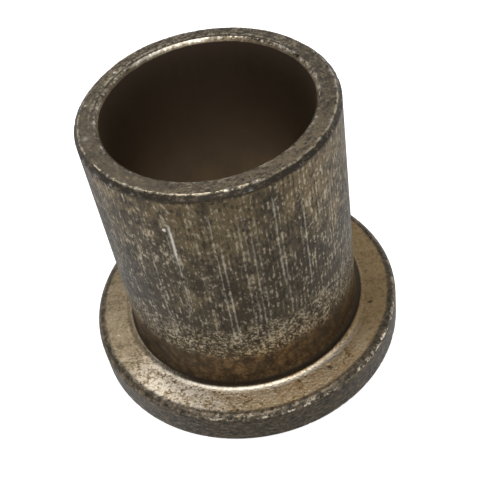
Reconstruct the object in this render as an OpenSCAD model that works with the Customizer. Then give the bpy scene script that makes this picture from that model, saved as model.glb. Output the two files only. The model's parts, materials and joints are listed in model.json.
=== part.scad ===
// Flanged sleeve bushing, pressed and sintered in one piece from bronze powder.
// A shaft runs in the bore, the barrel is pressed into a housing, and the flange
// seats on the housing's face and takes the thrust.
//
// The axis is Z. The origin is the middle of the flange's thrust face, and +Z
// points along the barrel to its free end. Sizes are in millimetres.

/* [Bore] */
// Diameter of the bore that the shaft runs in
bore_d = 22; // [10:0.5:40]
// Leg of the 45 degree chamfer at each end of the bore
bore_chamfer = 0.4; // [0.2:0.1:0.6]

/* [Barrel] */
// Wall between the bore and the outside of the barrel
wall = 2.5; // [1.5:0.1:6]
// Length of the barrel, from the flange's seat to the free end
barrel_length = 29; // [10:0.5:60]
// Leg of the 45 degree chamfer that leads the barrel into its housing
lead_chamfer = 0.5; // [0.2:0.1:0.8]

/* [Flange] */
// How far the flange stands out from the barrel
flange_overhang = 4.75; // [2.75:0.25:10]
// Thickness of the flange, from the thrust face to the seat
flange_thickness = 4.5; // [2:0.25:8]
// Radius of the fillet between the barrel and the seat
root_fillet = 1.2; // [0.4:0.1:1.6]
// Radius that rounds the rim on the side of the seat
seat_edge_radius = 0.8; // [0.3:0.1:1]
// Leg of the 45 degree chamfer around the thrust face
thrust_chamfer = 0.5; // [0.2:0.1:0.8]

/* [Hidden] */

bore_r = bore_d / 2;
barrel_r = bore_r + wall;
flange_r = barrel_r + flange_overhang;
overall_length = flange_thickness + barrel_length;

bronze = [0.46, 0.38, 0.27];
overlap = 0.2; // how far a cut runs past the face it opens
$fn = 128;

// All the profiles below lie in the half plane of rotate_extrude: X is the
// radius and Y is the height along the axis.

// A right triangle whose legs lie on the two edges of a corner, pushed past the
// corner so that cutting it leaves a clean 45 degree chamfer. The corner is at
// the origin, and the material is on the side of the two directions given.
module chamfer_cut(leg, toward_x, toward_y) {
    polygon([
        [leg * toward_x, -overlap * toward_y],
        [leg * toward_x, 0],
        [0, leg * toward_y],
        [-overlap * toward_x, leg * toward_y],
        [-overlap * toward_x, -overlap * toward_y],
    ]);
}

// The waste outside a rounded corner: what a radius takes off a square edge.
// The corner is at the origin, and the material lies below it and towards the axis.
module round_cut(radius) {
    difference() {
        translate([-radius, -radius])
            square(radius + overlap);
        translate([-radius, -radius])
            circle(radius);
    }
}

module barrel_profile() {
    difference() {
        translate([bore_r, 0])
            square([wall, overall_length]);
        translate([barrel_r, overall_length])
            chamfer_cut(lead_chamfer, -1, -1);
        for (bore_end = [[0, 1], [overall_length, -1]])
            translate([bore_r, bore_end[0]])
                chamfer_cut(bore_chamfer, 1, bore_end[1]);
    }
}

// It starts inside the wall, so that barrel and flange are one body of metal.
module flange_profile() {
    difference() {
        translate([barrel_r - wall / 2, 0])
            square([flange_overhang + wall / 2, flange_thickness]);
        translate([flange_r, flange_thickness])
            round_cut(seat_edge_radius);
        translate([flange_r, 0])
            chamfer_cut(thrust_chamfer, -1, 1);
    }
}

// The concave corner where the die turns from the barrel to the seat.
module root_fillet_profile() {
    translate([barrel_r, flange_thickness])
        difference() {
            translate([-wall / 2, -flange_thickness / 2])
                square([wall / 2 + root_fillet, flange_thickness / 2 + root_fillet]);
            translate([root_fillet, root_fillet])
                circle(root_fillet);
        }
}

module flanged_bushing() {
    color(bronze)
        rotate_extrude()
            union() {
                barrel_profile();
                flange_profile();
                root_fillet_profile();
            }
}

flanged_bushing();
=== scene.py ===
import json
import math

import bpy
import numpy as np
from mathutils import Matrix, Vector, noise


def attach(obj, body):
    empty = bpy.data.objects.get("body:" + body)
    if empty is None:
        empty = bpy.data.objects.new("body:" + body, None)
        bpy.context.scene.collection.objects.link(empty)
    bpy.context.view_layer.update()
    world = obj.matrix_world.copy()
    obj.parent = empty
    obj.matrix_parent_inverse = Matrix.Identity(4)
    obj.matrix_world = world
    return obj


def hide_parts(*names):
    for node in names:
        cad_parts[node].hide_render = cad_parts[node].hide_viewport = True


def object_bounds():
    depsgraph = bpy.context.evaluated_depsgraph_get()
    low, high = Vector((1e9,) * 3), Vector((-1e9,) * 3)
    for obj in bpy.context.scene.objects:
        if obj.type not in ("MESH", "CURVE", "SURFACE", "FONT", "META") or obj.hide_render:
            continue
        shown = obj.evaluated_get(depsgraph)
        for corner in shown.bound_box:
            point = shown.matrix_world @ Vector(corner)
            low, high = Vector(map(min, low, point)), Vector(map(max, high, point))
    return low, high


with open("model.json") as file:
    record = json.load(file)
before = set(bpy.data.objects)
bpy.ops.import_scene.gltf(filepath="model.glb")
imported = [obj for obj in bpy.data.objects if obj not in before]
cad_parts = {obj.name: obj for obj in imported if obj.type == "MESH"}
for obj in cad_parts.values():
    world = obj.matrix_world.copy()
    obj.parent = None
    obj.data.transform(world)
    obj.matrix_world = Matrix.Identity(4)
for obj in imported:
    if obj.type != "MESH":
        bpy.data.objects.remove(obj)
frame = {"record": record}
cad_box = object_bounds()

# ---------------------------------------------------------------------------
# Sizes in millimetres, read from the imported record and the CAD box. The part
# is a body of revolution about Z, which stands on its flange at Z = 0.

MM = 0.001
MOUNTS = {mount["name"]: mount for mount in frame["record"]["mounts"]}


def mount_height(name):
    return MOUNTS[name]["pos_m"][2] / MM


def mount_span(name):
    """Lowest and highest height of a mount's cylindrical wall."""
    half = MOUNTS[name]["dims"]["length_mm"] / 2
    return mount_height(name) - half, mount_height(name) + half


BORE_R = MOUNTS["bore"]["dims"]["r_mm"]
BARREL_R = MOUNTS["barrel"]["dims"]["r_mm"]
SEAT_Z = mount_height("flange_seat")
TOP_Z = mount_height("free_end")
RELIEF_ROOM = 0.02  # how far the flange's rim stays inside the CAD box
FLANGE_R = min(-cad_box[0].x, cad_box[1].x, -cad_box[0].y, cad_box[1].y) / MM - RELIEF_ROOM
ROOT_FILLET = mount_span("barrel")[0] - SEAT_Z
LEAD_CHAMFER = TOP_Z - mount_span("barrel")[1]
BORE_CHAMFER = TOP_Z - mount_span("bore")[1]
SEAT_EDGE = 0.8  # the record has no mount that gives this radius and the next chamfer
THRUST_CHAMFER = 0.5
BROKEN_EDGE = 0.07  # the small radius that tumbling leaves on a chamfer's corners

COLUMNS = 900  # steps around the axis
SEED = 27

# Angles are in degrees around Z from +X, and the camera stands towards -90.

# The straight marks that the sizing die left down the barrel: angle, upper end,
# lower end, depth, width and how bright the metal in them is.
DIE_MARKS = [
    (-114.6, 29.5, 24.9, 0.060, 0.14, 1.00),
    (-114.4, 24.7, 16.2, 0.012, 0.08, 0.40),
    (-116.6, 32.4, 24.0, 0.016, 0.09, 0.30),
    (-126.3, 31.5, 12.0, 0.012, 0.09, 0.20),
    (-97.6, 31.0, 13.0, 0.014, 0.08, 0.35),
    (-95.4, 26.0, 11.0, 0.016, 0.08, 0.40),
    (-87.0, 30.5, 12.5, 0.014, 0.08, 0.25),
    (-84.6, 29.0, 13.5, 0.014, 0.08, 0.22),
    (-82.3, 27.5, 11.5, 0.014, 0.08, 0.30),
    (-80.0, 30.0, 15.0, 0.014, 0.08, 0.22),
    (-71.2, 31.5, 20.0, 0.016, 0.09, 0.40),
    (-69.4, 29.5, 14.0, 0.014, 0.08, 0.25),
    (-57.6, 28.5, 16.0, 0.014, 0.09, 0.35),
]
RANDOM_MARKS = 320
LOWEST_MARK_TOP = 19  # the random marks start above this height, so that the foot stays smooth

# The bright dot beside the main scratch: angle, height and reach.
WHITE_DOT = (-117.0, 29.1, 0.24)

# Knocks on the edges of the end face and the flange: angle, radius, height,
# size and depth.
EDGE_NICKS = [
    (137.4, 12.1, TOP_Z, 0.14, 0.08),
    (164.4, 12.6, TOP_Z, 0.12, 0.07),
    (-111.0, 17.9, SEAT_Z, 0.22, 0.03),
    (-96.0, 17.8, SEAT_Z, 0.18, 0.03),
    (-74.0, 17.9, SEAT_Z, 0.30, 0.04),
    (-63.5, 17.9, SEAT_Z, 0.20, 0.03),
    (-126.0, 13.0, TOP_Z, 0.22, 0.03),
    (-88.0, 13.0, TOP_Z, 0.16, 0.03),
    (-171.0, 12.4, TOP_Z, 0.30, 0.03),
]
RANDOM_NICKS = 260

# Pores that opened in the flat faces: angle, radius, height and size.
PITS = [
    (26.0, 11.3, TOP_Z, 0.26),
    (-20.9, 15.3, SEAT_Z, 0.22),
    (-59.9, 15.5, SEAT_Z, 0.22),
    (-2.5, 15.0, SEAT_Z, 0.15),
    (-17.5, 16.7, SEAT_Z, 0.15),
    (-74.0, 15.0, SEAT_Z, 0.16),
    (-35.0, 16.3, SEAT_Z, 0.12),
    (-110.0, 16.4, SEAT_Z, 0.15),
]
RANDOM_PITS = 60

# Depths at which a knock shows bare metal all over, and a pore is filled with oil.
FULL_KNOCK = 0.08
FULL_PIT = 0.06

# The barrel's three finishes, from the foot up: brown and smooth, open-grained,
# and burnished. Each pair is the heights between which one gives way to the next.
STAIN_FADE = (8.8, 10.6)
BURNISH_FADE = (14.4, 16.0)
SCORE_SPACING = 0.52  # between the fine score lines around the barrel

# Where a painted highlight lies on the seat, and its less metallic core: angle and radius.
SEAT_HIGHLIGHT_SPOT = (-125, 16.5)
SEAT_HIGHLIGHT_CORE = (-122, 16.4)


# ---------------------------------------------------------------------------
# The profile, in the half plane of radius and height

def unit(vector):
    return vector / np.linalg.norm(vector)


def rounded_outline(corners):
    """Points around a closed outline whose corners are rounded.

    Each corner is (x, y, radius, steps around it, steps to the next corner, zone
    after it). Returns the points and the zone of the stretch after each of them.
    """
    places = [np.array(corner[:2]) for corner in corners]
    arcs = []
    for i, (_, _, radius, steps, _, _) in enumerate(corners):
        before = unit(places[i - 1] - places[i])
        after = unit(places[(i + 1) % len(places)] - places[i])
        half_angle = math.acos(np.clip(before @ after, -1, 1)) / 2
        centre = places[i] + unit(before + after) * radius / math.sin(half_angle)
        reach = radius / math.tan(half_angle)
        first = places[i] + before * reach - centre
        last = places[i] + after * reach - centre
        turn = math.pi - 2 * half_angle
        arc = [
            centre + (first * math.sin(turn * (1 - t)) + last * math.sin(turn * t)) / math.sin(turn)
            for t in np.linspace(0, 1, steps + 1)
        ]
        arcs.append(arc)
    points = []
    zones = []
    for i, arc in enumerate(arcs):
        _, _, _, steps, side_steps, zone = corners[i]
        previous_zone = corners[i - 1][5]
        following = arcs[(i + 1) % len(arcs)][0]
        points += arc[:-1]
        zones += [previous_zone if k < steps / 2 else zone for k in range(steps)]
        points += [arc[-1] + (following - arc[-1]) * t for t in np.arange(side_steps) / side_steps]
        zones += [zone] * side_steps
    return np.array(points), zones


ZONES = ["bore", "end", "barrel", "flange"]


def outline(lead, bore_chamfer, seat_edge):
    """The bushing's section, from the foot of the bore up, over and down."""
    edge = BROKEN_EDGE
    return rounded_outline([
        (BORE_R, BORE_CHAMFER, edge, 2, 6, "bore"),
        (BORE_R, TOP_Z - bore_chamfer, edge, 2, 3, "end"),
        (BORE_R + bore_chamfer, TOP_Z, edge, 3, 9, "end"),
        (BARREL_R - lead, TOP_Z, edge, 4, 4, "end"),
        (BARREL_R, TOP_Z - lead, edge, 3, 30, "barrel"),
        (BARREL_R, SEAT_Z, ROOT_FILLET, 8, 12, "flange"),
        (FLANGE_R, SEAT_Z, seat_edge, 8, 6, "flange"),
        (FLANGE_R, THRUST_CHAMFER, edge, 2, 1, "flange"),
        (FLANGE_R - THRUST_CHAMFER, 0, edge, 2, 3, "flange"),
        (BORE_R + BORE_CHAMFER, 0, edge, 2, 1, "end"),
    ])


# ---------------------------------------------------------------------------
# The skin: the profile swept around the axis, with its wear cut into the mesh

def ring_noise(angle, seed, lobes):
    """Smooth noise around the axis, from -1 to 1, with about that many lobes."""
    spread = lobes / math.tau
    return noise.noise(Vector((math.cos(angle) * spread, math.sin(angle) * spread, seed)))


def swept_grid():
    """Radius and height of every vertex, by column and row, and the rows' zones."""
    grid = []
    for angle in np.arange(COLUMNS) * math.tau / COLUMNS:
        points, zones = outline(
            LEAD_CHAMFER * (1 + 0.16 * ring_noise(angle, 3.1, 9) + 0.08 * ring_noise(angle, 8.7, 60)),
            BORE_CHAMFER * (1 + 0.20 * ring_noise(angle, 5.3, 11) + 0.14 * ring_noise(angle, 1.9, 90)),
            SEAT_EDGE * (1 + 0.12 * ring_noise(angle, 7.7, 14)),
        )
        grid.append(points)
    return np.array(grid), zones


def outward(grid):
    """The unit normal of every vertex in the half plane of radius and height."""
    along = np.roll(grid, -1, axis=1) - np.roll(grid, 1, axis=1)
    along /= np.linalg.norm(along, axis=2, keepdims=True)
    return np.stack([-along[..., 1], along[..., 0]], axis=2)


def arc_gap(angles, angle_deg, radius):
    """Signed distance around the axis from each column to an angle."""
    turn = angles - math.radians(angle_deg)
    return (turn - math.tau * np.round(turn / math.tau)) * radius


def fade(value, low, high):
    """0 below low, 1 above high, and a smooth step between them."""
    t = np.clip((value - low) / (high - low), 0, 1)
    return t * t * (3 - 2 * t)


def cut_marks(grid, angles, on_barrel, chance):
    """Depth of the die marks, and how bright the metal in them is."""
    depth = np.zeros(grid.shape[:2])
    bright = np.zeros(grid.shape[:2])
    marks = list(DIE_MARKS)
    for _ in range(RANDOM_MARKS):
        top = chance.uniform(LOWEST_MARK_TOP, TOP_Z)
        marks.append((
            chance.uniform(-180, 180),
            top,
            top - chance.uniform(2, 9),
            chance.uniform(0.002, 0.007),
            chance.uniform(0.05, 0.08),
            chance.uniform(0.02, 0.16),
        ))
    height = grid[..., 1]
    for angle, top, bottom, deep, width, shine in marks:
        across = np.exp(-(arc_gap(angles, angle, BARREL_R) / width) ** 2)[:, None]
        reach = fade(height, bottom - 0.8, bottom + 0.8) * (1 - fade(height, top - 0.4, top + 0.4))
        mark = across * reach * on_barrel
        depth = np.maximum(depth, mark * deep)
        bright = np.maximum(bright, mark * shine)
    return depth, bright


def cut_dents(grid, angles, chance):
    """Depth of the knocks on the edges and of the pores in the flat faces."""
    knocks = list(EDGE_NICKS)
    edges = [
        (BORE_R + BORE_CHAMFER, TOP_Z),
        (BARREL_R - LEAD_CHAMFER, TOP_Z),
        (BARREL_R, TOP_Z - LEAD_CHAMFER),
        (FLANGE_R - 0.3, SEAT_Z - 0.1),
        (FLANGE_R, SEAT_Z - SEAT_EDGE),
        (FLANGE_R, THRUST_CHAMFER),
    ]
    for _ in range(RANDOM_NICKS):
        radius, height = edges[chance.randint(len(edges))]
        knocks.append((
            chance.uniform(-180, 180),
            radius,
            height,
            chance.uniform(0.07, 0.20),
            chance.uniform(0.01, 0.05),
        ))
    pits = [(*pit, 0.4 * pit[3]) for pit in PITS]
    for _ in range(RANDOM_PITS):
        size = chance.uniform(0.08, 0.15)
        pits.append((
            chance.uniform(-180, 180),
            chance.uniform(BARREL_R + ROOT_FILLET, FLANGE_R - SEAT_EDGE),
            SEAT_Z if chance.uniform() < 0.6 else 0,
            size,
            0.3 * size,
        ))

    def hollow(angle, radius, height, size, deep):
        across = arc_gap(angles, angle, radius)[:, None]
        away = across**2 + (grid[..., 0] - radius) ** 2 + (grid[..., 1] - height) ** 2
        return np.exp(-away / size**2) * deep

    knock_depth = np.zeros(grid.shape[:2])
    for knock in knocks:
        knock_depth = np.maximum(knock_depth, hollow(*knock))
    pit_depth = np.zeros(grid.shape[:2])
    for pit in pits:
        pit_depth = np.maximum(pit_depth, hollow(*pit))
    return knock_depth, pit_depth


def make_skin():
    """The bushing's visible mesh, one closed surface with a material per zone."""
    chance = np.random.RandomState(SEED)
    angles = np.arange(COLUMNS) * math.tau / COLUMNS
    grid, zones = swept_grid()
    rows = grid.shape[1]
    on_barrel = np.array([zone == "barrel" for zone in zones])
    mark_depth, mark_shine = cut_marks(grid, angles, on_barrel, chance)
    knock_depth, pit_depth = cut_dents(grid, angles, chance)
    relief = mark_depth + knock_depth + pit_depth
    grid = grid - outward(grid) * relief[..., None]

    points = np.empty((COLUMNS, rows, 3))
    points[..., 0] = grid[..., 0] * np.cos(angles)[:, None]
    points[..., 1] = grid[..., 0] * np.sin(angles)[:, None]
    points[..., 2] = grid[..., 1]
    column, row = np.meshgrid(np.arange(COLUMNS), np.arange(rows), indexing="ij")
    next_column = (column + 1) % COLUMNS
    next_row = (row + 1) % rows
    faces = np.stack([
        column * rows + row,
        column * rows + next_row,
        next_column * rows + next_row,
        next_column * rows + row,
    ], axis=2)

    mesh = bpy.data.meshes.new("bushing_skin")
    mesh.from_pydata((points.reshape(-1, 3) * MM).tolist(), [], faces.reshape(-1, 4).tolist())
    mesh.polygons.foreach_set("use_smooth", np.ones(COLUMNS * rows, bool))
    indices = np.array([ZONES.index(zone) for zone in zones])
    mesh.polygons.foreach_set("material_index", np.tile(indices, COLUMNS).astype(np.int32))
    wear = {"mark": mark_shine, "knock": knock_depth / FULL_KNOCK, "pit": pit_depth / FULL_PIT}
    for name, values in wear.items():
        layer = mesh.attributes.new(name, "FLOAT", "POINT")
        layer.data.foreach_set("value", np.clip(values, 0, 1).ravel().astype(np.float32))
    mesh.update()
    skin = bpy.data.objects.new("bushing_skin", mesh)
    bpy.context.scene.collection.objects.link(skin)
    return skin


# ---------------------------------------------------------------------------
# Materials

class Nodes:
    """A short way to write a node tree. Sockets and plain numbers mix freely."""

    def __init__(self, tree):
        self.tree = tree

    def node(self, kind, inputs=(), **settings):
        made = self.tree.nodes.new(kind)
        for key, value in settings.items():
            setattr(made, key, value)
        for key, value in dict(inputs).items():
            if isinstance(value, bpy.types.NodeSocket):
                self.tree.links.new(value, made.inputs[key])
            else:
                made.inputs[key].default_value = value
        return made

    def math(self, operation, a, b=0.0):
        return self.node("ShaderNodeMath", {0: a, 1: b}, operation=operation).outputs[0]

    def add(self, a, b):
        return self.math("ADD", a, b)

    def times(self, a, b):
        return self.math("MULTIPLY", a, b)

    def mixed(self, *parts):
        """The sum of (value, weight) pairs."""
        total = self.times(*parts[0])
        for value, weight in parts[1:]:
            total = self.add(total, self.times(value, weight))
        return total

    def step(self, value, low, high):
        """0 at low, 1 at high, smooth between. low may be the larger of the two."""
        inputs = {"Value": value, "From Min": low, "From Max": high}
        return self.node("ShaderNodeMapRange", inputs, interpolation_type="SMOOTHSTEP").outputs[0]

    def band(self, value, low, high, soft):
        """1 between low and high, with soft ends."""
        above = self.step(value, low - soft, low + soft)
        below = self.step(value, high + soft, high - soft)
        return self.times(above, below)

    def blend(self, factor, a, b):
        """Mixes two colours."""
        made = self.node("ShaderNodeMix", {0: factor}, data_type="RGBA")
        for socket, value in ((made.inputs[6], a), (made.inputs[7], b)):
            if isinstance(value, bpy.types.NodeSocket):
                self.tree.links.new(value, socket)
            else:
                socket.default_value = (*value, 1)
        return made.outputs[2]

    def level(self, factor, a, b):
        """Mixes two numbers."""
        return self.node("ShaderNodeMix", {0: factor, 2: a, 3: b}, data_type="FLOAT").outputs[0]

    def ramp(self, value, *stops):
        """A colour for each value: (place, colour) pairs in rising order."""
        made = self.node("ShaderNodeValToRGB", {0: value})
        elements = made.color_ramp.elements
        while len(elements) < len(stops):
            elements.new(1.0)
        for element, (place, colour) in zip(elements, stops):
            element.position = place
            element.color = (*colour, 1)
        return made.outputs[0]


class Shade(Nodes):
    """One material of the bushing, with its coordinates in millimetres."""

    def __init__(self, name):
        self.material = bpy.data.materials.new(name)
        self.material.use_nodes = True
        super().__init__(self.material.node_tree)
        self.shader = self.tree.nodes["Principled BSDF"]
        place = self.node("ShaderNodeTexCoord").outputs["Object"]
        self.place = self.scaled(place, (1 / MM, 1 / MM, 1 / MM))
        split = self.node("ShaderNodeSeparateXYZ", {0: self.place})
        self.x, self.y, self.height = split.outputs
        squares = self.add(self.times(self.x, self.x), self.times(self.y, self.y))
        self.radius = self.math("SQRT", squares)

    def scaled(self, vector, factors):
        made = self.node("ShaderNodeVectorMath", {0: vector, 1: factors}, operation="MULTIPLY")
        return made.outputs[0]

    def grain(self, size, detail=2.0, rough=0.5, stretch=1.0, shift=0.0):
        """Noise from 0 to 1 with features of that size, drawn out along the axis."""
        vector = self.scaled(self.place, (1, 1, 1 / stretch))
        if shift:
            inputs = {0: vector, 1: (shift, shift * 1.7, -shift)}
            vector = self.node("ShaderNodeVectorMath", inputs, operation="ADD").outputs[0]
        inputs = {"Vector": vector, "Scale": 1 / size, "Detail": detail, "Roughness": rough}
        return self.node("ShaderNodeTexNoise", inputs).outputs["Fac"]

    def arcs(self, size, stretch):
        """Noise from 0 to 1 drawn out around the axis."""
        across = self.times(self.x, 1 / stretch)
        along = self.times(self.y, 1 / stretch)
        inputs = {0: self.radius, 1: across, 2: along}
        vector = self.node("ShaderNodeCombineXYZ", inputs).outputs[0]
        inputs = {"Vector": vector, "Scale": 1 / size, "Detail": 3, "Roughness": 0.65}
        return self.node("ShaderNodeTexNoise", inputs).outputs["Fac"]

    def grit(self, size, stretch=1.0):
        """A random number from 0 to 1 for each powder grain of about that size."""
        inputs = {"Vector": self.scaled(self.place, (1, 1, 1 / stretch)), "Scale": 1 / size}
        cells = self.node("ShaderNodeTexVoronoi", inputs).outputs["Color"]
        return self.node("ShaderNodeSeparateColor", {0: cells}).outputs[0]

    def ridges(self, spacing, wobble):
        """A wave from -1 to 1 around the barrel, constant along the axis but for the wobble."""
        waves = round(math.tau * BARREL_R / spacing)
        turn = self.times(self.math("ARCTAN2", self.y, self.x), waves)
        drift = self.times(self.grain(1.5, 2, 0.5, stretch=6, shift=8), wobble * math.tau)
        return self.math("SINE", self.add(turn, drift))

    def centred(self, *parts):
        """0.5 plus the weighted sum of how far each value lies from 0.5."""
        return self.add(self.mixed(*parts), 0.5 - 0.5 * sum(weight for _, weight in parts))

    def towards(self, angle_deg):
        """How far out a point lies in that direction, in millimetres."""
        angle = math.radians(angle_deg)
        return self.mixed((self.x, math.cos(angle)), (self.y, math.sin(angle)))

    def near(self, angle_deg, radius, reach, height=None):
        """1 at a spot on the part, fading to 0 at that distance.

        Without a height, only the distance seen along the axis counts.
        """
        angle = math.radians(angle_deg)
        spot = (radius * math.cos(angle), radius * math.sin(angle), height or 0)
        place = self.place if height else self.scaled(self.place, (1, 1, 0))
        away = self.node("ShaderNodeVectorMath", {0: place, 1: spot}, operation="DISTANCE")
        return self.step(away.outputs["Value"], reach, 0)

    def wander(self, value, size, reach, shift=0.0):
        """The value shifted by noise, up to reach either way, for an uneven border."""
        off_centre = self.math("SUBTRACT", self.grain(size, 4, 0.65, shift=shift), 0.5)
        return self.add(value, self.times(off_centre, 4 * reach))

    def stored(self, name):
        return self.node("ShaderNodeAttribute", attribute_name=name).outputs["Fac"]

    def bump(self, height, depth, normal=None):
        """A relief of that depth in millimetres where the height runs from 0 to 1."""
        inputs = {"Height": height, "Distance": self.times(depth, MM), "Strength": 1.0}
        if normal is not None:
            inputs["Normal"] = normal
        return self.node("ShaderNodeBump", inputs).outputs[0]

    def finish(self, colour, roughness, normal, metallic=None, coat=0.15):
        self.tree.links.new(colour, self.shader.inputs["Base Color"])
        self.tree.links.new(roughness, self.shader.inputs["Roughness"])
        self.tree.links.new(normal, self.shader.inputs["Normal"])
        if metallic is None:
            self.shader.inputs["Metallic"].default_value = 1.0
        else:
            self.tree.links.new(metallic, self.shader.inputs["Metallic"])
        self.shader.inputs["Coat Weight"].default_value = coat
        self.shader.inputs["Coat Roughness"].default_value = 0.3
        self.shader.inputs["Specular IOR Level"].default_value = 0.3
        return self.material


SOOT = (0.035, 0.029, 0.021)  # the darkest oxide and packed-in oil
BURNISHED = (0.102, 0.082, 0.056)  # metal darkened by the die and by oil
BURNISHED_BROWN = (0.25, 0.187, 0.106)
# Also the colour of the painted highlight and the painted lit band on the end face.
WORN_AND_HIGHLIGHT = (0.66, 0.57, 0.415)  # high spots rubbed bright
BRONZE = (0.46, 0.365, 0.235)  # the plain sintered metal
# Also the colour of the painted highlight at the back of the bore mouth.
BARE_METAL_AND_HIGHLIGHT = (0.92, 0.88, 0.78)  # metal freshly laid bare
# Oil in pores, and also the dark of painted shade at the barrel's root and outside the bore mouth.
OIL_AND_SHADE = (0.030, 0.021, 0.012)
BORE_METAL = (0.245, 0.168, 0.091)


def bore_material():
    """Oil-dark running surface with faint marks along the axis."""
    s = Shade("bore_oiled")
    streaks = s.grain(0.25, 3, 0.6, stretch=18)
    clouds = s.grain(4.0, 3, 0.6, stretch=1.2)
    tone = s.mixed((streaks, 0.2), (clouds, 0.8))
    colour = s.ramp(tone, (0.30, (0.175, 0.120, 0.070)), (0.70, BORE_METAL))
    # Painted shade: the bore is darker towards its top.
    colour = s.blend(s.step(s.height, 12, 30), colour, (0.172, 0.129, 0.091))
    side = s.step(s.math("ABSOLUTE", s.x), 5, 11)
    colour = s.blend(s.times(side, 0.5), colour, (0.31, 0.24, 0.165))
    return s.finish(colour, s.level(streaks, 0.40, 0.55), s.bump(streaks, 0.002), coat=0.1)


def end_material():
    """Free end: mottled ring, dark lead chamfer, and a bright bore mouth with a painted highlight at
    its back.
    """
    s = Shade("end_face")
    grit = s.grit(0.26)
    mottle = s.grain(1.0, 4, 0.60)
    fine = s.grain(0.30, 2, 0.6)
    spots = s.centred((grit, 0.35), (fine, 0.6), (s.arcs(0.25, 4), 0.9), (mottle, 1.2))
    calm = s.times(s.step(s.towards(-155), 5, 12), 0.5)
    colour = s.ramp(
        s.level(calm, spots, 0.46),
        (0.20, SOOT),
        (0.42, (0.12, 0.098, 0.070)),
        (0.60, (0.21, 0.168, 0.112)),
        (0.85, (0.45, 0.38, 0.28)),
    )
    brown = s.times(s.near(-50, 12.2, 10), s.step(spots, 0.20, 0.55))
    colour = s.blend(s.times(brown, 0.7), colour, (0.33, 0.255, 0.165))
    lead_edge = BARREL_R - LEAD_CHAMFER
    reach = s.wander(s.radius, 0.8, 0.08, shift=9)
    # Painted highlight: a broken pale line along the lead chamfer's upper edge.
    edge_highlight = s.band(reach, lead_edge - 0.08, lead_edge + 0.07, 0.05)
    edge_highlight = s.times(edge_highlight, s.step(spots, 0.40, 0.65))
    lead = s.ramp(spots, (0.30, SOOT), (0.62, (0.075, 0.061, 0.045)), (0.90, (0.22, 0.18, 0.13)))
    colour = s.blend(s.step(reach, lead_edge + 0.04, lead_edge + 0.14), colour, lead)
    colour = s.blend(s.times(edge_highlight, 0.8), colour, WORN_AND_HIGHLIGHT)

    # At the back of the bore mouth: a painted highlight on the chamfer, a painted dark line outside it
    # and a painted lit band beyond.
    back = s.towards(103)
    mouth_edge = BORE_R + BORE_CHAMFER
    border = s.wander(s.radius, 0.5, 0.05, shift=5)
    behind = s.step(back, 2, 8)
    back_lit_band = s.band(border, mouth_edge + 0.28, mouth_edge + 0.55, 0.08)
    back_lit_band = s.times(s.times(back_lit_band, s.step(spots, 0.35, 0.75)), behind)
    colour = s.blend(s.times(back_lit_band, 0.8), colour, WORN_AND_HIGHLIGHT)
    back_dark_line = s.times(s.band(border, mouth_edge + 0.08, mouth_edge + 0.20, 0.05), behind)
    colour = s.blend(s.times(back_dark_line, 0.8), colour, OIL_AND_SHADE)
    rough_cut = s.ramp(spots, (0.25, SOOT), (0.55, (0.30, 0.235, 0.15)), (0.85, BARE_METAL_AND_HIGHLIGHT))
    back_highlight = s.ramp(spots, (0.10, BRONZE), (0.45, (0.78, 0.71, 0.58)), (0.70, BARE_METAL_AND_HIGHLIGHT))
    inside = s.blend(s.step(s.add(back, s.times(mottle, 2)), 10.6, 12.2), rough_cut, back_highlight)
    ragged = s.step(s.wander(s.radius, 0.35, 0.12, shift=6), BORE_R + 0.28, BORE_R + 0.10)
    inside = s.blend(s.times(ragged, 0.9), inside, (0.16, 0.12, 0.075))
    colour = s.blend(s.step(border, mouth_edge + 0.05, mouth_edge - 0.05), colour, inside)
    colour = s.blend(s.times(s.stored("knock"), 0.8), colour, BARE_METAL_AND_HIGHLIGHT)
    colour = s.blend(s.stored("pit"), colour, OIL_AND_SHADE)
    dark = s.times(s.step(spots, 0.50, 0.25), s.step(border, mouth_edge - 0.05, mouth_edge + 0.05))
    relief = s.bump(s.mixed((grit, 0.2), (fine, 0.4), (mottle, 0.4)), 0.06)
    return s.finish(colour, s.level(spots, 0.55, 0.28), relief, s.level(dark, 1.0, 0.5))


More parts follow.
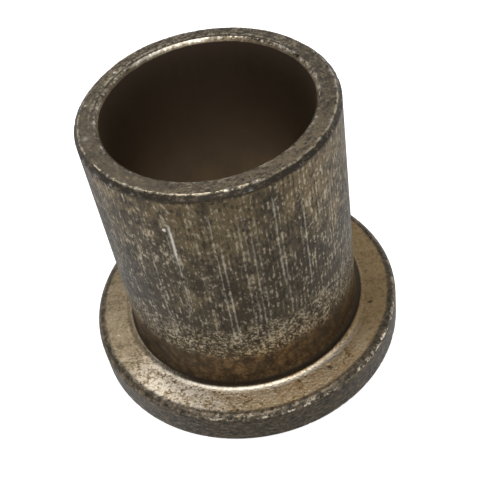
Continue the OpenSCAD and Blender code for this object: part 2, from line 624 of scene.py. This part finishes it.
def barrel_material():
    """Sized wall: burnished and scored above, open-grained below."""
    s = Shade("barrel_sized")
    grit = s.grit(0.24, stretch=1.8)
    lines = s.grain(0.16, 2, 0.6, stretch=14)
    flecks = s.grain(0.31, 2, 0.6, stretch=1.7)
    blotches = s.grain(1.2, 4, 0.65, stretch=1.4, shift=6)
    patches = s.grain(5.0, 3, 0.6, stretch=1.3, shift=4)
    scored = s.level(s.near(-62, BARREL_R, 12), s.step(patches, 0.45, 0.60), 1.0)
    dots = s.step(s.grit(0.23, stretch=1.4), 0.1, 0.6)
    rows = s.times(s.times(s.ridges(SCORE_SPACING, 1.2), dots), scored)
    fine = s.centred((grit, 0.40), (flecks, 1.0), (blotches, 0.9), (lines, 0.6))
    fine = s.add(fine, s.times(rows, 0.17))
    uneven_height = s.add(s.height, s.times(s.math("SUBTRACT", patches, 0.5), 3.0))

    # The burnished part is greyer towards the flange and browner towards the end.
    rise = s.times(s.math("SUBTRACT", s.height, 21), 0.008)
    tone = s.add(s.mixed((blotches, 0.5), (patches, 0.5)), rise)
    # Painted shade: the barrel is darker on its left side.
    tone = s.add(tone, s.times(s.step(s.x, -4, -10), -0.09))
    upper = s.ramp(tone, (0.43, BURNISHED), (0.52, (0.150, 0.118, 0.077)), (0.60, BURNISHED_BROWN))
    pores = s.step(fine, 0.38, 0.14)
    upper = s.blend(s.times(s.step(fine, 0.60, 0.88), 0.8), upper, WORN_AND_HIGHLIGHT)
    upper = s.blend(s.times(pores, 0.85), upper, SOOT)
    round_grit = s.grit(0.21)
    open_grain = s.centred((round_grit, 0.55), (flecks, 1.0), (blotches, 1.2))
    speckled = s.ramp(
        open_grain,
        (0.20, (0.05, 0.040, 0.026)),
        (0.52, (0.17, 0.135, 0.085)),
        (0.86, WORN_AND_HIGHLIGHT),
    )
    # The smooth foot band's brown is partly a stain and partly a painted reflection of the flange.
    stain_and_reflection = s.centred((blotches, 2.0), (round_grit, 0.25), (flecks, 0.5))
    smooth = s.ramp(
        stain_and_reflection,
        (0.20, (0.04, 0.027, 0.015)),
        (0.50, (0.095, 0.062, 0.033)),
        (0.80, (0.19, 0.130, 0.068)),
    )
    lower = s.blend(s.step(uneven_height, *STAIN_FADE), smooth, speckled)
    burnished = s.step(s.add(uneven_height, s.times(flecks, 2)), *BURNISH_FADE)
    colour = s.blend(burnished, lower, upper)
    mark = s.stored("mark")
    broken = s.step(s.add(fine, s.times(mark, 0.5)), 0.40, 0.60)
    dot_angle, dot_height, dot_reach = WHITE_DOT
    dot = s.times(s.near(dot_angle, BARREL_R, dot_reach, height=dot_height), 3)
    laid_bare = s.math("MINIMUM", s.add(s.times(mark, broken), dot), 1)
    colour = s.blend(laid_bare, colour, BARE_METAL_AND_HIGHLIGHT)
    # A darker band just below the lead chamfer.
    collar = s.add(s.height, s.times(s.math("SUBTRACT", blotches, 0.5), 1.2))
    collar_top = TOP_Z - LEAD_CHAMFER
    dark_collar = s.step(collar, collar_top - 0.40, collar_top - 0.05)
    colour = s.blend(s.times(dark_collar, 0.8), colour, SOOT)
    # Painted shade: the barrel darkens in the root fillet just above the seat.
    colour = s.blend(s.step(s.height, SEAT_Z + 1.0, SEAT_Z + 0.45), colour, OIL_AND_SHADE)
    relief = s.bump(lines, 0.006, s.bump(s.mixed((grit, 0.12), (flecks, 0.88)), 0.050))
    dull = s.math("MAXIMUM", s.times(pores, 0.6), s.times(laid_bare, 0.8))
    return s.finish(colour, s.level(fine, 0.52, 0.26), relief, s.level(dull, 1.0, 0.0), coat=0.08)


def flange_material():
    """Tan, grainy seat inside a dark burnished edge and rim."""
    s = Shade("flange_seat_and_rim")
    grit = s.grit(0.23)
    fine = s.grain(0.30, 3, 0.6)
    mottle = s.grain(1.3, 3, 0.6)
    spots = s.centred((grit, 0.32), (fine, 0.7), (s.arcs(0.25, 3), 0.6), (mottle, 0.9))
    left_seat = s.ramp(
        spots,
        (0.10, (0.15, 0.112, 0.066)),
        (0.45, (0.30, 0.232, 0.145)),
        (0.80, (0.40, 0.325, 0.22)),
        (1.00, BARE_METAL_AND_HIGHLIGHT),
    )
    right_seat = s.ramp(
        spots,
        (0.10, (0.19, 0.130, 0.065)),
        (0.45, (0.42, 0.295, 0.150)),
        (0.80, (0.53, 0.385, 0.215)),
        (1.00, BRONZE),
    )
    seat = s.blend(s.step(s.x, -6, 8), left_seat, right_seat)
    # Painted light: the front of the seat is painted paler, where the lamps light it.
    left_lit_front = s.ramp(
        spots,
        (0.15, (0.24, 0.165, 0.09)),
        (0.40, (0.68, 0.52, 0.32)),
        (0.68, (0.98, 0.86, 0.67)),
    )
    right_lit_front = s.ramp(
        spots,
        (0.15, (0.28, 0.175, 0.08)),
        (0.40, (0.78, 0.55, 0.31)),
        (0.70, (0.97, 0.81, 0.57)),
    )
    lit_front = s.blend(s.step(s.x, -4, 6), left_lit_front, right_lit_front)
    inside_edge = s.step(s.radius, FLANGE_R - 0.85, FLANGE_R - 1.3)
    front = s.times(s.step(s.towards(-88), 8, 14.5), inside_edge)
    seat = s.blend(s.times(front, 0.85), seat, lit_front)
    foot = BARREL_R + ROOT_FILLET
    skewed = s.add(s.wander(s.radius, 0.8, 0.06, shift=4), s.times(s.x, -0.03))
    # Painted highlight: a pale band on the seat at the foot of the barrel, on the front only.
    foot_highlight = s.band(skewed, foot - 0.50, foot + 0.08, 0.16)
    foot_highlight = s.times(foot_highlight, s.step(s.towards(-88), 7, 14))
    seat = s.blend(s.times(foot_highlight, 0.75), seat, (0.83, 0.77, 0.65))
    # Painted highlight: a soft pale bloom on the seat's left front.
    highlight_reach = s.near(*SEAT_HIGHLIGHT_SPOT, 10.0)
    seat_highlight = s.times(highlight_reach, s.step(spots, 0.32, 0.60))
    seat = s.blend(seat_highlight, seat, (0.99, 0.88, 0.73))
    # Painted shade: a dark line on the seat where it meets the barrel, on the front and right.
    root_shade = s.step(s.wander(s.radius, 0.5, 0.03), BARREL_R + 0.85, BARREL_R + 0.55)
    seat = s.blend(s.times(root_shade, s.step(s.towards(-50), -7, 5)), seat, OIL_AND_SHADE)
    smear = s.centred((s.grain(0.7, 4, 0.65, stretch=0.5, shift=2), 2.2), (grit, 0.3))
    rim = s.ramp(smear, (0.20, SOOT), (0.55, (0.125, 0.099, 0.069)), (0.90, (0.27, 0.215, 0.15)))
    edge = s.wander(s.radius, 1.0, 0.12, shift=7)
    border = s.step(edge, FLANGE_R - SEAT_EDGE - 0.40, FLANGE_R - SEAT_EDGE + 0.02)
    colour = s.blend(border, seat, rim)
    # Painted glints: pale flecks in a thin line on the flange's rounded edge, on the front only.
    front_edge_glints = s.band(s.height, SEAT_Z - 0.46, SEAT_Z - 0.16, 0.08)
    front_edge_glints = s.times(s.times(front_edge_glints, s.step(s.towards(-62), 8, 15)), s.step(spots, 0.48, 0.80))
    colour = s.blend(front_edge_glints, colour, (0.86, 0.77, 0.60))
    colour = s.blend(s.times(s.stored("knock"), 0.4), colour, WORN_AND_HIGHLIGHT)
    colour = s.blend(s.times(s.stored("pit"), 0.85), colour, OIL_AND_SHADE)
    dark = s.times(border, s.step(smear, 0.65, 0.35))
    # The painted highlight's core is made less metallic, so that its pale colour shows.
    highlight_core = s.times(seat_highlight, s.near(*SEAT_HIGHLIGHT_CORE, 8.0))
    dull = s.math("MAXIMUM", s.times(dark, 0.5), s.times(highlight_core, 0.6))
    depth = s.level(s.step(s.towards(-80), 2, 12), 0.025, s.level(border, 0.08, 0.06))
    relief = s.bump(s.mixed((grit, 0.2), (fine, 0.6), (mottle, 0.2)), depth)
    roughness = s.level(highlight_reach, s.level(spots, 0.44, 0.30), s.level(spots, 0.42, 0.30))
    return s.finish(colour, roughness, relief, s.level(dull, 1.0, 0.0), coat=0.05)


# ---------------------------------------------------------------------------
# Stage, light and camera

def make_floor():
    """A wide pale floor, a hair below the part so that the two don't share a plane."""
    mesh = bpy.data.meshes.new("floor")
    half = 30  # metres, so that its edge stays out of low views
    corners = [(-half, -half, 0), (half, -half, 0), (half, half, 0), (-half, half, 0)]
    mesh.from_pydata(corners, [], [(0, 1, 2, 3)])
    floor = bpy.data.objects.new("floor", mesh)
    floor.location.z = -0.02 * MM
    bpy.context.scene.collection.objects.link(floor)
    material = bpy.data.materials.new("floor_white")
    material.use_nodes = True
    shader = material.node_tree.nodes["Principled BSDF"]
    shader.inputs["Base Color"].default_value = (0.85, 0.85, 0.85, 1)
    shader.inputs["Roughness"].default_value = 0.9
    shader.inputs["Emission Color"].default_value = (1, 1, 1, 1)
    shader.inputs["Emission Strength"].default_value = 0.8
    mesh.materials.append(material)
    floor.visible_glossy = False
    floor.visible_diffuse = False


def make_world():
    """Soft surroundings: a pale horizon, a dim sky, and a ground that is paler at both sides."""
    world = bpy.data.worlds.new("studio")
    bpy.context.scene.world = world
    world.use_nodes = True
    n = Nodes(world.node_tree)
    direction = n.node("ShaderNodeTexCoord").outputs["Generated"]
    x, y, z = n.node("ShaderNodeSeparateXYZ", {0: direction}).outputs
    left = n.step(x, -0.40, -0.95)
    right = n.step(x, 0.5, 0.95)
    ground = n.add(0.42, n.mixed((left, 0.4), (right, 0.45)))
    high_sky = n.level(n.step(z, 0.60, 0.72), 0.40, 0.20)
    sky = n.level(n.step(z, 0.15, 0.45), 1.0, high_sky)
    radiance = n.level(n.step(z, -0.12, -0.01), ground, sky)
    background = world.node_tree.nodes["Background"]
    background.inputs["Color"].default_value = (1, 1, 1, 1)
    world.node_tree.links.new(radiance, background.inputs["Strength"])


def add_panel(name, location, width, height, radiance, facing=None):
    """A soft panel light, which faces the bushing unless told otherwise. Metres."""
    light = bpy.data.lights.new(name, "AREA")
    light.shape = "RECTANGLE"
    light.size = width
    light.size_y = height
    light.energy = radiance * math.pi * width * height
    panel = bpy.data.objects.new(name, light)
    panel.location = location
    away = Vector(location) if facing is None else -Vector(facing)
    panel.rotation_mode = "QUATERNION"
    panel.rotation_quaternion = away.to_track_quat("Z", "Y")
    panel.visible_camera = False
    bpy.context.scene.collection.objects.link(panel)


def make_lights():
    add_panel("overhead", (-0.02, -0.07, 0.30), 0.24, 0.26, 2.8, facing=(0, 0, -1))
    add_panel("back_left", (-0.066, 0.135, 0.260), 0.05, 0.05, 9.0)


def make_camera():
    """The photograph's view: from 46 degrees above, with the part leaning left."""
    data = bpy.data.cameras.new("camera")
    data.sensor_width = 36
    data.lens = 68.83
    data.clip_start = 0.01
    data.clip_end = 100
    camera = bpy.data.objects.new("camera", data)
    bpy.context.scene.collection.objects.link(camera)
    target = Vector((0.70, 0, 13.34)) * MM
    distance = 105.6 * MM
    elevation = math.radians(46.01)
    away = Vector((0, -math.cos(elevation), math.sin(elevation)))
    roll = Matrix.Rotation(math.radians(-11.16), 4, "Z")
    camera.matrix_world = (
        Matrix.Translation(target + away * distance)
        @ away.to_track_quat("Z", "Y").to_matrix().to_4x4()
        @ roll
    )
    bpy.context.scene.camera = camera


# ---------------------------------------------------------------------------
# The scene

make_camera()
make_floor()
make_world()
make_lights()
bpy.context.scene.view_settings.view_transform = "Standard"

skin = make_skin()
for material in (bore_material(), end_material(), barrel_material(), flange_material()):
    skin.data.materials.append(material)
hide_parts("flanged_bushing")
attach(skin, "root")
